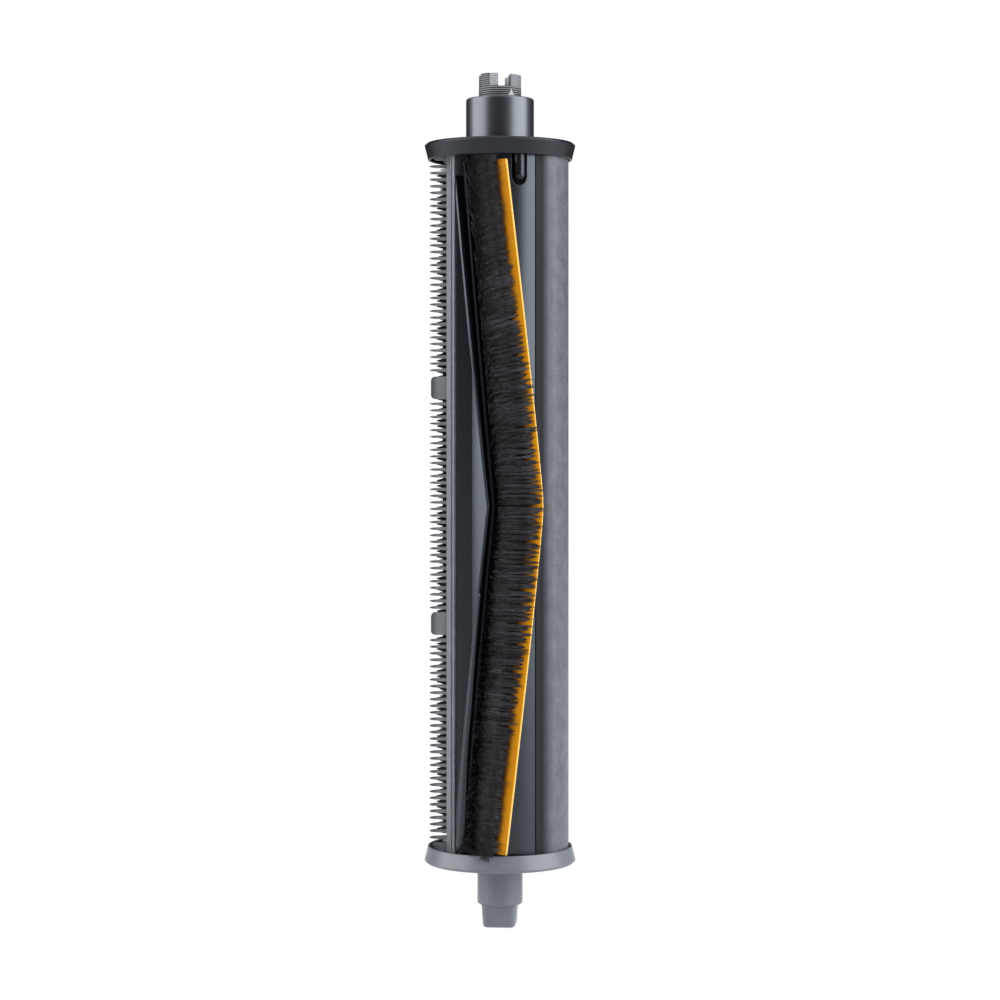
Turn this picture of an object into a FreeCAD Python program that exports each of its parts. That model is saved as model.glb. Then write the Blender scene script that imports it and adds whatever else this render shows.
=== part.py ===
import FreeCAD, Part
import math
import os
import Sketcher

from FreeCAD import Placement, Rotation, Vector

# Roller brush for a robot vacuum, in millimetres and degrees.
# The axis is Z. Angles go round it from -Y (the side with the front strip) towards +X.
# z = 0 is the outer face of the drive flange, and the bearing end is up.
SIZES = {
    # Ends and flanges
    "cap_span": 163.75,
    "flange_height": 3.75,
    "lip_wall": 0.45,
    "flange_flare": 0.8,
    "rim_round": 0.5,
    "cap_floor": 1.5,
    "skirt_gap": 0.3,
    # Drive end
    "journal_radius": 5.15,
    "journal_length": 9.5,
    "journal_chamfer": 0.3,
    "peg_width": 7.9,
    "peg_tip_width": 7.3,
    "peg_length": 5.1,
    "peg_turn": -5.0,
    "peg_corner": 1.25,
    "peg_tip_round": 0.8,
    "spigot_length": 6.5,
    "spigot_gap": 0.1,
    # Roller shell
    "shell_radius": 15.65,
    "seat_wall": 0.2,
    "channel_left": 43.3,
    "channel_right": 33.0,
    "cover_edge_proud": 0.1,
    "cover_flat_angle": 6.5,
    "cover_flat_drop": 0.37,
    "cover_bend_angle": 10.0,
    "cover_bend_drop": 0.1,
    "cover_round_angle": 13.5,
    "rib_drop": 0.75,
    "rib_seam_angle": 1.4,
    "rib_seam_width": 0.9,
    "rib_seam_depth": 0.4,
    "lobe_wall": 2.05,
    "lobe_inner_radius": 10.2,
    "lobe_wall_angle": 8.0,
    # Bristle holder
    "holder_drop": 1.05,
    "holder_gap_angle": 0.5,
    "valley_crease": 6.2,
    "valley_right": 2.2,
    "valley_drop": 4.0,
    "valley_rise": 4.2,
    "slot_centre": 4.25,
    "slot_width": 3.4,
    "slot_reach": 9.15,
    "slot_drop": 3.0,
    # V strips: clearances to the two flanges and the turn from apex to end
    "strip_low_gap": 0.45,
    "strip_high_gap": 1.4,
    "strip_sweep": 30.0,
    "groove_over": 1.7,
    "groove_spread": 4.5,
    "edge_angle": 2.0,
    "edge_proud": 0.1,
    "groove_drop": 3.8,
    "groove_left": -9.7,
    "groove_right": 25.0,
    "groove_edge": 28.6,
    "groove_reach": 2.9,
    # Bristle backing
    "strip_gap": 0.1,
    "backing_thickness": 1.0,
    "backing_lip_drop": 0.9,
    "backing_gap_angle": 2.2,
    "backing_lip_angle": 2.4,
    "backing_right": 18.4,
    # Bristles
    "bristle_gap_angle": 1.9,
    "bristle_right": 18.0,
    "bristle_low_reach": 0.6,
    "bristle_reach": 2.3,
    "bristle_low_angle": 8.0,
    "bristle_tip_angle": 28.6,
    # Wiper
    "wiper_thickness": 0.9,
    "wiper_neck_drop": 2.2,
    "wiper_flank_reach": 1.6,
    "wiper_reach": 2.7,
    "wiper_root_angle": 21.5,
    "wiper_neck_angle": 22.8,
    "wiper_bend_angle": 25.5,
    "wiper_flank_angle": 29.4,
    "wiper_tip_angle": 33.6,
    # Comb channel and comb guard
    "comb_angle": -106.0,
    "comb_front": -48.5,
    "comb_rear": -136.0,
    "comb_floor": 9.9,
    "comb_foot": 11.2,
    "guard_thickness": 1.5,
    "guard_half": 4.4,
    "guard_gap": 0.3,
    "tooth_splay": 16.0,
    "tooth_root": 11.2,
    "bar_reach": 11.9,
    "tooth_proud": 0.35,
    "tooth_pitch": 1.5,
    "tooth_root_width": 0.9,
    "tooth_neck_width": 0.5,
    "tooth_tip_width": 0.16,
    "tooth_point": 0.9,
    "tooth_depth": 1.3,
    "tab_width": 5.3,
    "tab_round": 0.7,
    "tab_proud": 0.1,
    "tab_low": 54.3,
    "tab_high": 108.1,
    "end_tab_reach": 0.6,
    "end_tab_gap": 0.1,
    "tab_taper": 0.2,
    "end_tab_drop": 0.25,
    # Cutter
    "blade_thickness": 0.6,
    "blade_gap": 0.3,
    "blade_inner": 8.0,
    "blade_root": 13.1,
    "blade_drop": 0.65,
    "blade_pitch": 1.25,
    "blade_root_width": 1.0,
    "blade_tip_width": 0.16,
    "blade_end": 6.0,
    "cutter_stroke": 0.5,
    "carrier_inner": 5.8,
    "carrier_outer": 9.6,
    "carrier_half": 2.2,
    "carrier_gap": 0.3,
    "rivet_radius": 0.6,
    "rivet_line": 8.8,
    "rivet_first": 26.0,
    "rivet_pitch": 37.0,
    "follower_radius": 0.75,
    "follower_reach": 1.55,
    "follower_drop": 5.55,
    # Cam shaft and bearing end
    "cam_radius": 5.0,
    "cam_gap": 0.3,
    "cam_length": 11.0,
    "cam_groove_depth": 1.1,
    "cam_throw": 0.5,
    "pilot_radius": 2.0,
    "pilot_length": 3.0,
    "running_gap": 0.05,
    "shaft_radius": 3.0,
    "collar_radius": 7.75,
    "collar_length": 10.25,
    "collar_round": 0.5,
    "collar_spigot_radius": 6.8,
    "collar_spigot_length": 3.0,
    "bush_radius": 5.8,
    "bush_length": 4.0,
    "bush_shoulder": 3.75,
    "shoulder_radius": 4.6,
    "ring_thickness": 0.6,
    "ring_width": 0.9,
    "washer_thickness": 0.6,
    "washer_seat": 0.8,
    "end_gap": 0.15,
    # Crown
    "crown_radius": 4.85,
    "crown_height": 5.5,
    "crown_step": 0.25,
    "crown_slot": 2.75,
    "crown_slot_depth": 3.0,
    "crown_slot_offset": 0.35,
    "crown_turn": 9.0,
    "crown_flat": 0.75,
    "crown_cover": 0.5,
    # Tongues of the end flange
    "tongue_radius": 1.35,
    "tongue_reach": 8.05,
    "tongue_drop": 1.25,
    "tongue_round": 1.1,
}

doc = FreeCAD.newDocument("RollerBrush")
sheet = doc.addObject("Spreadsheet::Sheet", "sizes")
for row, (alias, number) in enumerate(SIZES.items(), start=1):
    sheet.set("A%d" % row, alias)
    sheet.set("B%d" % row, str(number))
    sheet.setAlias("B%d" % row, alias)
doc.recompute()


class Dim:
    """A size: its number, and the sheet formula that gives the number."""

    def __init__(self, value, text):
        self.value = float(value)
        self.text = text

    def __add__(self, other):
        other = as_dim(other)
        return Dim(self.value + other.value, "(%s + %s)" % (self.text, other.text))

    def __sub__(self, other):
        other = as_dim(other)
        return Dim(self.value - other.value, "(%s - %s)" % (self.text, other.text))

    def __mul__(self, other):
        other = as_dim(other)
        return Dim(self.value * other.value, "(%s * %s)" % (self.text, other.text))

    def __truediv__(self, other):
        other = as_dim(other)
        return Dim(self.value / other.value, "(%s / %s)" % (self.text, other.text))

    def __radd__(self, other):
        return as_dim(other) + self

    def __rsub__(self, other):
        return as_dim(other) - self

    def __rmul__(self, other):
        return as_dim(other) * self

    def __neg__(self):
        return Dim(-self.value, "(0 - %s)" % self.text)


def as_dim(number):
    if isinstance(number, Dim):
        return number
    return Dim(number, "(%r)" % float(number))


def size(alias):
    return Dim(sheet.get(alias), "sizes.%s" % alias)


def sine(angle):
    return Dim(math.sin(math.radians(angle.value)), "sin(%s * 1 deg)" % angle.text)


def cosine(angle):
    return Dim(math.cos(math.radians(angle.value)), "cos(%s * 1 deg)" % angle.text)


def polar(radius, angle):
    radius = as_dim(radius)
    angle = as_dim(angle)
    return (radius * sine(angle), -(radius * cosine(angle)))


def bind(item, prop, dim):
    dim = as_dim(dim)
    setattr(item, prop, dim.value)
    item.setExpression(prop, dim.text)


def new_body(label):
    body = doc.addObject("PartDesign::Body", label)
    body.Label = label
    return body


def origin_item(body, role):
    return [item for item in body.Origin.OriginFeatures if item.Role == role][0]


def sketch(body, name, plane, shift=0.0, turn=0.0, axis=Vector(0, 0, 1)):
    """A sketch on an origin plane, shifted along its normal and turned about one of its own axes."""
    made = body.newObject("Sketcher::SketchObject", name)
    made.AttachmentSupport = [(origin_item(body, plane), "")]
    made.MapMode = "FlatFace"
    shift = as_dim(shift)
    turn = as_dim(turn)
    made.AttachmentOffset = Placement(Vector(0, 0, shift.value), Rotation(axis, turn.value))
    made.setExpression("AttachmentOffset.Base.z", shift.text)
    return made


def fix_point(made, side, end, x, y, which="xy"):
    """Holds one end of a side at its distances from the sketch's origin."""
    for letter, kind, distance in (("x", "DistanceX", x), ("y", "DistanceY", y)):
        if letter in which:
            index = made.addConstraint(Sketcher.Constraint(kind, -1, 1, side, end, distance.value))
            made.setExpression("Constraints[%d]" % index, distance.text)


def outline(made, points, arcs=()):
    """A closed outline through the points. The sides listed in arcs are arcs about the origin."""
    points = [(as_dim(x), as_dim(y)) for x, y in points]
    count = len(points)
    starts = []
    for side in range(count):
        first = points[side]
        last = points[(side + 1) % count]
        a = Vector(first[0].value, first[1].value, 0)
        b = Vector(last[0].value, last[1].value, 0)
        if side not in arcs:
            made.addGeometry(Part.LineSegment(a, b), False)
            starts.append(1)
            continue
        circle = Part.Circle(Vector(0, 0, 0), Vector(0, 0, 1), a.Length)
        forward = a.cross(b).z > 0
        low, high = (a, b) if forward else (b, a)
        low_angle = math.atan2(low.y, low.x)
        high_angle = math.atan2(high.y, high.x)
        if high_angle < low_angle:
            high_angle += 2 * math.pi
        made.addGeometry(Part.ArcOfCircle(circle, low_angle, high_angle), False)
        made.addConstraint(Sketcher.Constraint("Coincident", side, 3, -1, 1))
        starts.append(1 if forward else 2)
    for side in range(count):
        after = (side + 1) % count
        made.addConstraint(Sketcher.Constraint("Coincident", side, 3 - starts[side], after, starts[after]))
    for side in range(count):
        x, y = points[side]
        which = "xy"
        if (side - 1) % count in arcs:
            which = "x" if abs(y.value) > abs(x.value) else "y"
        fix_point(made, side, starts[side], x, y, which)


def disc(made, radius, x=0.0, y=0.0):
    radius = as_dim(radius)
    x = as_dim(x)
    y = as_dim(y)
    made.addGeometry(Part.Circle(Vector(x.value, y.value, 0), Vector(0, 0, 1), radius.value), False)
    index = made.addConstraint(Sketcher.Constraint("Radius", 0, radius.value))
    made.setExpression("Constraints[%d]" % index, radius.text)
    fix_point(made, 0, 3, x, y)


def pad(body, made, length, symmetric=False):
    feature = body.newObject("PartDesign::Pad", made.Name + "_pad")
    feature.Profile = made
    bind(feature, "Length", length)
    if symmetric:
        feature.SideType = "Symmetric"
    return feature


def pocket(body, made, length=None, outward=False):
    """Cuts back from the sketch, through everything unless a length is given."""
    feature = body.newObject("PartDesign::Pocket", made.Name + "_cut")
    feature.Profile = made
    feature.Reversed = outward
    if length is None:
        feature.Type = "ThroughAll"
    else:
        bind(feature, "Length", length)
    return feature


def revolve(body, name, points):
    made = sketch(body, name, "XZ_Plane")
    outline(made, points)
    feature = body.newObject("PartDesign::Revolution", name + "_turned")
    feature.Profile = made
    feature.ReferenceAxis = (made, ["V_Axis"])
    feature.Angle = 360.0
    return feature


def fillet(body, base, edges, radius):
    feature = body.newObject("PartDesign::Fillet", base.Name + "_round")
    feature.Base = (base, edges)
    bind(feature, "Radius", radius)
    return feature


def edges_where(feature, test):
    names = []
    for number, edge in enumerate(feature.Shape.Edges, start=1):
        if test(edge):
            names.append("Edge%d" % number)
    return names


def spans(edge, low, high):
    """True where the edge runs from the one level to the other."""
    levels = sorted(vertex.Point.z for vertex in edge.Vertexes)
    return abs(levels[0] - low) < 0.01 and abs(levels[-1] - high) < 0.01


def pattern(body, originals, pitch, count):
    feature = body.newObject("PartDesign::LinearPattern", originals[0].Name + "_row")
    feature.Originals = originals
    feature.Direction = (origin_item(body, "Z_Axis"), [""])
    feature.Mode = "Extent"
    bind(feature, "Length", pitch * (count - 1))
    feature.Occurrences = count
    body.Tip = feature
    return feature


def turned_copy(source, label, turn):
    """The same piece a part of a turn further round the axis."""
    made = doc.addObject("Part::Feature", label)
    made.Label = label
    made.Shape = source.Shape.copy()
    made.Placement = Placement(Vector(0, 0, 0), Rotation(Vector(0, 0, 1), turn))
    return made


# Sizes that follow from others
shell_bottom = size("cap_floor")
shell_top = size("cap_span") - size("cap_floor")
shell_length = shell_top - shell_bottom
body_top = size("cap_span") - size("flange_height")
strip_low = size("flange_height") + size("strip_low_gap")
strip_high = body_top - size("strip_high_gap")
strip_apex = (strip_low + strip_high) / 2
strip_half = (strip_high - strip_low) / 2
skirt_inner = size("shell_radius") + size("skirt_gap")
flange_lip_radius = skirt_inner + size("lip_wall")
flange_radius = flange_lip_radius + size("flange_flare")
holder_radius = size("shell_radius") - size("holder_drop")
seat_depth = size("collar_spigot_radius") + size("seat_wall")
rib_radius = size("shell_radius") - size("rib_drop")
lobe_outer_radius = size("shell_radius") - size("lobe_wall")
valley_depth = holder_radius - size("valley_drop")
slot_depth = holder_radius - size("slot_drop")
tongue_line = holder_radius - size("tongue_drop")
groove_floor = holder_radius - size("groove_drop")
groove_top = holder_radius + size("groove_reach")
groove_edge_radius = holder_radius + size("edge_proud")
backing_lip_radius = holder_radius - size("backing_lip_drop")
bristle_low_tip = holder_radius + size("bristle_low_reach")
bristle_tip = holder_radius + size("bristle_reach")
wiper_neck = holder_radius - size("wiper_neck_drop")
wiper_flank = holder_radius + size("wiper_flank_reach")
wiper_tip = holder_radius + size("wiper_reach")
tooth_tip = size("shell_radius") + size("tooth_proud")
tab_tip = size("shell_radius") + size("tab_proud")
end_tab_tip = size("shell_radius") - size("end_tab_drop")
blade_tip = size("shell_radius") - size("blade_drop")
bore_radius = size("cam_radius") + size("cam_gap")
spigot_radius = bore_radius - size("spigot_gap")
guard_outer = size("comb_floor") + size("guard_thickness")
chamber_half = size("carrier_half") + size("carrier_gap")
chamber_floor = size("carrier_inner") - size("carrier_gap")
comb_turn = size("comb_angle") - 90
collar_top = size("cap_span") + size("collar_length")
crown_bottom = collar_top + size("end_gap")
crown_top = collar_top + size("crown_height")
crown_floor = crown_top - size("crown_slot_depth")
cam_top = shell_top - size("collar_spigot_length") - size("cam_gap")
cam_bottom = cam_top - size("cam_length")
follower_height = cam_top - size("follower_drop")
pilot_bottom = cam_bottom - size("pilot_length")
beyond = size("shell_radius") * 2

nodes = []

# Drive end: cupped flange, journal and square peg in one piece
drive = new_body("drive_end_cap")
nodes.append(drive)
peg_end = -(size("journal_length") + size("peg_length"))
squares = []
for name, level, width in (("peg_base", -size("journal_length"), size("peg_width")),
                           ("peg_tip", peg_end, size("peg_tip_width"))):
    square = sketch(drive, name, "XY_Plane", level, size("peg_turn"))
    half = width / 2
    outline(square, [(-half, -half), (half, -half), (half, half), (-half, half)])
    squares.append(square)
peg = drive.newObject("PartDesign::AdditiveLoft", "peg")
peg.Profile = squares[0]
peg.Sections = [squares[1]]
peg.Ruled = True
doc.recompute()
tip_level = peg_end.value
base_level = -size("journal_length").value
corners = edges_where(peg, lambda e: spans(e, tip_level, base_level))
peg_corners = fillet(drive, peg, corners, size("peg_corner"))
doc.recompute()
tip_edges = edges_where(peg_corners, lambda e: spans(e, tip_level, tip_level))
fillet(drive, peg_corners, tip_edges, size("peg_tip_round"))
revolve(drive, "drive_profile", [
    (0, -size("journal_length")),
    (size("journal_radius") - size("journal_chamfer"), -size("journal_length")),
    (size("journal_radius"), size("journal_chamfer") - size("journal_length")),
    (size("journal_radius"), 0),
    (flange_radius - size("rim_round"), 0),
    (flange_radius, size("rim_round")),
    (flange_lip_radius, size("flange_height")),
    (skirt_inner, size("flange_height")),
    (skirt_inner, size("cap_floor")),
    (spigot_radius, size("cap_floor")),
    (spigot_radius, size("cap_floor") + size("spigot_length")),
    (0, size("cap_floor") + size("spigot_length")),
])

# Roller shell: one long moulding with two holder channels, the comb channel and the cutter's chamber
shell = new_body("roller_shell")
nodes.append(shell)
shell_round = sketch(shell, "shell_round", "XY_Plane", shell_bottom)
disc(shell_round, size("shell_radius"))
pad(shell, shell_round, shell_length)
for name, turn in (("front_channel", 0.0), ("rear_channel", 180.0)):
    channel = sketch(shell, name, "XY_Plane", shell_top, turn)
    left = size("channel_left")
    right = size("channel_right")
    outline(channel, [
        (-(seat_depth * sine(left) / cosine(left)), -seat_depth),
        (seat_depth * sine(right) / cosine(right), -seat_depth),
        polar(beyond, right),
        polar(beyond, -left),
    ])
    pocket(shell, channel)
    cover_edge = sketch(shell, name.replace("channel", "cover_edge"), "XY_Plane", shell_top, turn)
    cover_stop = right + size("cover_round_angle")
    outline(cover_edge, [
        polar(holder_radius + size("cover_edge_proud"), right),
        polar(beyond, right),
        polar(beyond, cover_stop),
        polar(size("shell_radius"), cover_stop),
        polar(size("shell_radius") - size("cover_bend_drop"), right + size("cover_bend_angle")),
        polar(size("shell_radius") - size("cover_flat_drop"), right + size("cover_flat_angle")),
    ])
    pocket(shell, cover_edge)
comb_channel = sketch(shell, "comb_channel", "XY_Plane", shell_top)
bed_half = size("guard_half") + size("guard_gap")
comb_dir = polar(1, size("comb_angle"))
comb_side = polar(1, size("comb_angle") + 90)
outline(comb_channel, [
    polar(beyond, size("comb_front")),
    polar(size("comb_foot"), size("comb_front")),
    (comb_dir[0] * size("comb_floor") + comb_side[0] * bed_half,
     comb_dir[1] * size("comb_floor") + comb_side[1] * bed_half),
    (comb_dir[0] * size("comb_floor") - comb_side[0] * bed_half,
     comb_dir[1] * size("comb_floor") - comb_side[1] * bed_half),
    polar(beyond, size("comb_rear")),
    polar(beyond * 2, (size("comb_front") + size("comb_rear")) / 2),
])
pocket(shell, comb_channel)
rib_trim = sketch(shell, "rib_trim", "XY_Plane", shell_top)
rib_start = size("comb_front") - size("lobe_wall_angle")
rib_stop = size("lobe_wall_angle") - size("channel_left")
outline(rib_trim, [
    polar(rib_radius, rib_start),
    polar(beyond, rib_start),
    polar(beyond, rib_stop),
    polar(rib_radius, rib_stop),
], arcs=(3,))
pocket(shell, rib_trim)
rib_seam = sketch(shell, "rib_seam", "XY_Plane", shell_top)
seam_start = size("comb_front") + size("rib_seam_angle")
seam_stop = seam_start + size("rib_seam_width")
outline(rib_seam, [
    polar(rib_radius - size("rib_seam_depth"), seam_start),
    polar(beyond, seam_start),
    polar(beyond, seam_stop),
    polar(rib_radius - size("rib_seam_depth"), seam_stop),
])
pocket(shell, rib_seam)
chamber = sketch(shell, "cutter_chamber", "XY_Plane", shell_top, comb_turn)
outline(chamber, [
    (chamber_floor, -chamber_half),
    (guard_outer, -chamber_half),
    (guard_outer, chamber_half),
    (chamber_floor, chamber_half),
])
pocket(shell, chamber)
lobe = sketch(shell, "lobe_hollow", "XY_Plane", shell_top)
lobe_start = size("channel_right") + size("lobe_wall_angle")
lobe_end = 180 - size("channel_left") - size("lobe_wall_angle")
outline(lobe, [
    polar(size("lobe_inner_radius"), lobe_start),
    polar(lobe_outer_radius, lobe_start),
    polar(lobe_outer_radius, lobe_end),
    polar(size("lobe_inner_radius"), lobe_end),
], arcs=(1, 3))
pocket(shell, lobe)
window_half = size("follower_radius") + size("carrier_gap")
window_top = follower_height + window_half + size("cutter_stroke")
window = sketch(shell, "follower_window", "XY_Plane", window_top, comb_turn)
outline(window, [
    (size("shaft_radius"), -window_half),
    (size("carrier_inner"), -window_half),
    (size("carrier_inner"), window_half),
    (size("shaft_radius"), window_half),
])
pocket(shell, window, (window_half + size("cutter_stroke")) * 2)
cam_bore = sketch(shell, "cam_bore", "XY_Plane", shell_top)
disc(cam_bore, bore_radius)
pocket(shell, cam_bore, shell_top - cam_bottom + size("cam_gap"))
collar_bore = sketch(shell, "collar_bore", "XY_Plane", shell_top)
disc(collar_bore, size("collar_spigot_radius") + size("spigot_gap"))
pocket(shell, collar_bore, size("collar_spigot_length") + size("spigot_gap"))
pilot_bore = sketch(shell, "pilot_bore", "XY_Plane", shell_top)
disc(pilot_bore, size("pilot_radius") + size("running_gap"))
pocket(shell, pilot_bore, shell_top - pilot_bottom + size("cam_gap"))
spigot_bore_top = shell_bottom + size("spigot_length") + size("spigot_gap")
spigot_bore = sketch(shell, "spigot_bore", "XY_Plane", spigot_bore_top)
disc(spigot_bore, bore_radius)
pocket(shell, spigot_bore, size("spigot_length") + size("spigot_gap"))

# Every strip repeats its section at these places along the V, from one end over the apex to the other
STATIONS = [-4, -3, -2, -1, 0, 1, 2, 3, 4]


def strip_sections(body, name, points, reach):
    """The points are radius and angle, and for some the extra turn that they make towards the ends."""
    made = []
    for number, place in enumerate(STATIONS):
        share = place / 4.0
        level = strip_apex + reach * share
        along = reach / strip_half * abs(share)
        section = sketch(body, "%s_%d" % (name, number), "XY_Plane", level, -(size("strip_sweep") * along))
        corners = []
        for radius, angle, *spread in points:
            corners.append(polar(radius, angle - spread[0] * along if spread else angle))
        outline(section, corners)
        made.append(section)
    return made


def strip_loft(body, kind, name, points, reach):
    sections = strip_sections(body, name, points, reach)
    feature = body.newObject("PartDesign::" + kind, name + "_loft")
    feature.Profile = sections[0]
    feature.Sections = sections[1:]
    feature.Ruled = True
    return feature


# Bristle holder: fills the front channel, with a valley on its left, the rimmed V groove and a slot for the tongue
holder = new_body("bristle_holder_front")
nodes.append(holder)
holder_left = -(size("channel_left") - size("holder_gap_angle"))
holder_right = size("channel_right") - size("holder_gap_angle")
holder_section = sketch(holder, "holder_section", "XY_Plane", shell_bottom)
outline(holder_section, [
    (seat_depth * sine(holder_left) / cosine(holder_left), -seat_depth),
    (seat_depth * sine(holder_right) / cosine(holder_right), -seat_depth),
    polar(holder_radius, holder_right),
    polar(holder_radius, holder_left),
], arcs=(2,))
pad(holder, holder_section, shell_length)
valley = sketch(holder, "valley", "XY_Plane", shell_top)
outline(valley, [
    (-holder_radius, -valley_depth),
    (-size("valley_crease"), -valley_depth),
    (-size("valley_right"), -(valley_depth + size("valley_rise"))),
    (-size("valley_right"), -beyond),
    (-holder_radius, -beyond),
])
pocket(holder, valley)
edge_stop = size("groove_left") + size("edge_angle")
strip_loft(holder, "AdditiveLoft", "groove_rim", [
    (groove_floor, size("groove_left") - size("edge_angle"), size("groove_spread")),
    (groove_floor, edge_stop, size("groove_spread")),
    (groove_edge_radius, edge_stop, size("groove_spread")),
    (groove_edge_radius, size("groove_left") - size("edge_angle"), size("groove_spread")),
], strip_half + size("groove_over") / 2)
rim_trim = sketch(holder, "rim_trim", "XY_Plane", shell_top)
outline(rim_trim, [
    polar(seat_depth, holder_left),
    polar(beyond, holder_left),
    polar(beyond, holder_left * 2),
    polar(seat_depth, holder_left * 2),
])
pocket(holder, rim_trim)
strip_loft(holder, "SubtractiveLoft", "groove", [
    (groove_top, size("groove_left"), size("groove_spread")),
    (groove_floor, size("groove_left"), size("groove_spread")),
    (groove_floor, (size("groove_left") + size("groove_right")) / 2),
    (groove_floor, size("groove_right")),
    (holder_radius, size("groove_edge")),
    (groove_top, size("groove_edge") + 3),
], strip_half + size("groove_over"))
slot = sketch(holder, "tongue_slot", "XZ_Plane", slot_depth)
slot_half = size("slot_width") / 2
slot_low = shell_top - size("slot_reach")
outline(slot, [
    (size("slot_centre") - slot_half, shell_top + size("cap_floor")),
    (size("slot_centre") - slot_half, slot_low + slot_half),
    (size("slot_centre") - slot_half * 0.72, slot_low + slot_half * 0.3),
    (size("slot_centre") - slot_half * 0.26, slot_low),
    (size("slot_centre") + slot_half * 0.26, slot_low),
    (size("slot_centre") + slot_half * 0.72, slot_low + slot_half * 0.3),
    (size("slot_centre") + slot_half, slot_low + slot_half),
    (size("slot_centre") + slot_half, shell_top + size("cap_floor")),
])
pocket(holder, slot, outward=True)

# Backing strip: lies on the groove's floor, with a thin lip up the groove's left wall
backing = new_body("bristle_backing_front")
nodes.append(backing)
backing_low = groove_floor + size("strip_gap")
backing_high = backing_low + size("backing_thickness")
backing_left = size("groove_left") + size("backing_gap_angle")
lip_right = backing_left + size("backing_lip_angle")
strip_loft(backing, "AdditiveLoft", "backing", [
    (backing_lip_radius, backing_left),
    (backing_lip_radius, lip_right),
    (backing_high, lip_right),
    (backing_high, (backing_left + size("backing_right")) / 2),
    (backing_high, size("backing_right")),
    (backing_low, size("backing_right")),
    (backing_low, (backing_left + size("backing_right")) / 2),
    (backing_low, backing_left),
], strip_half)

# Bristles: the body of the swept tufts, rooted on the backing
bristles = new_body("bristles_front")
nodes.append(bristles)
bristle_root = backing_high + size("strip_gap")
bristle_left = lip_right + size("bristle_gap_angle")
strip_loft(bristles, "AdditiveLoft", "bristle", [
    (bristle_root, bristle_left),
    (bristle_root, (bristle_left + size("bristle_right")) / 2),
    (bristle_root, size("bristle_right")),
    (holder_radius, size("wiper_bend_angle") - 4.0),
    (bristle_tip, size("bristle_tip_angle")),
    (bristle_tip, (size("bristle_tip_angle") + size("bristle_low_angle")) / 2),
    (bristle_low_tip, size("bristle_low_angle")),
], strip_half)

# Wiper: a rubber blade bent over to trail, with its foot in the groove beside the backing
wiper = new_body("wiper_front")
nodes.append(wiper)
wiper_half = Dim(
    math.degrees(math.asin(size("wiper_thickness").value / 2 / wiper_neck.value)),
    "(asin(sizes.wiper_thickness / 2 / %s) / 1 deg)" % wiper_neck.text,
)
wiper_line = [
    (backing_low, size("wiper_root_angle")),
    (wiper_neck, size("wiper_neck_angle")),
    (holder_radius, size("wiper_bend_angle")),
    (wiper_flank, size("wiper_flank_angle")),
    (wiper_tip, size("wiper_tip_angle")),
]
wiper_points = [(radius, angle - wiper_half) for radius, angle in wiper_line]
wiper_points += [(radius, angle + wiper_half) for radius, angle in reversed(wiper_line)]
strip_loft(wiper, "AdditiveLoft", "wiper", wiper_points, strip_half)

# Comb guard: a bed plate with two splayed bars of teeth and wide tabs, split by the blade's slot
guard = new_body("comb_guard")
nodes.append(guard)
guard_bed = sketch(guard, "guard_bed", "XY_Plane", shell_bottom)
outline(guard_bed, [
    (size("comb_floor"), -size("guard_half")),
    (guard_outer, -size("guard_half")),
    (guard_outer, size("guard_half")),
    (size("comb_floor"), size("guard_half")),
])
pad(guard, guard_bed, shell_length)
slot_half_width = size("blade_thickness") / 2 + size("blade_gap")
slot_start = size("blade_end") - size("cutter_stroke") - size("blade_gap")
slot_stop = shell_top + shell_bottom - slot_start
blade_slot = sketch(guard, "blade_slot", "XY_Plane", slot_stop)
outline(blade_slot, [
    (size("comb_floor") - 1, -slot_half_width),
    (guard_outer + 1, -slot_half_width),
    (guard_outer + 1, slot_half_width),
    (size("comb_floor") - 1, slot_half_width),
])
pocket(guard, blade_slot, slot_stop - slot_start)


def guard_wedge(name, row, points):
    """One tooth or tab of the guard: a wedge in the plane of its row."""
    turn = size("tooth_splay") * row
    plane = sketch(guard, name, "XZ_Plane", 0.0, turn, Vector(0, 1, 0))
    outline(plane, points)
    return pad(guard, plane, size("tooth_depth"), symmetric=True)


end_tab_low = shell_bottom + size("end_tab_gap")
end_tab_stop = shell_top - size("end_tab_gap")
end_tab_high = size("flange_height") + size("end_tab_reach")
tabs = [
    ("tab_bottom", end_tab_low, end_tab_high, end_tab_tip),
    ("tab_one", size("tab_low") - size("tab_width") / 2, size("tab_low") + size("tab_width") / 2, tab_tip),
    ("tab_two", size("tab_high") - size("tab_width") / 2, size("tab_high") + size("tab_width") / 2, tab_tip),
    ("tab_top", body_top, end_tab_stop, end_tab_tip),
]
ROWS = (-1, 1)
for row in ROWS:
    guard_wedge("bar_%s" % "ab"[row > 0], row, [
        (size("tooth_root"), end_tab_low),
        (size("bar_reach"), end_tab_low),
        (size("bar_reach"), end_tab_stop),
        (size("tooth_root"), end_tab_stop),
    ])
for name, low, high, tip in tabs:
    for row in ROWS:
        guard_wedge("%s_%s" % (name, "ab"[row > 0]), row, [
            (size("tooth_root"), low),
            (tip - size("tab_round"), low + size("tab_taper") / 2),
            (tip - size("tab_round") * 0.3, low + size("tab_taper") + size("tab_round") * 0.3),
            (tip, low + size("tab_taper") + size("tab_round")),
            (tip, high - size("tab_taper") - size("tab_round")),
            (tip - size("tab_round") * 0.3, high - size("tab_taper") - size("tab_round") * 0.3),
            (tip - size("tab_round"), high - size("tab_taper") / 2),
            (size("tooth_root"), high),
        ])
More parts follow.
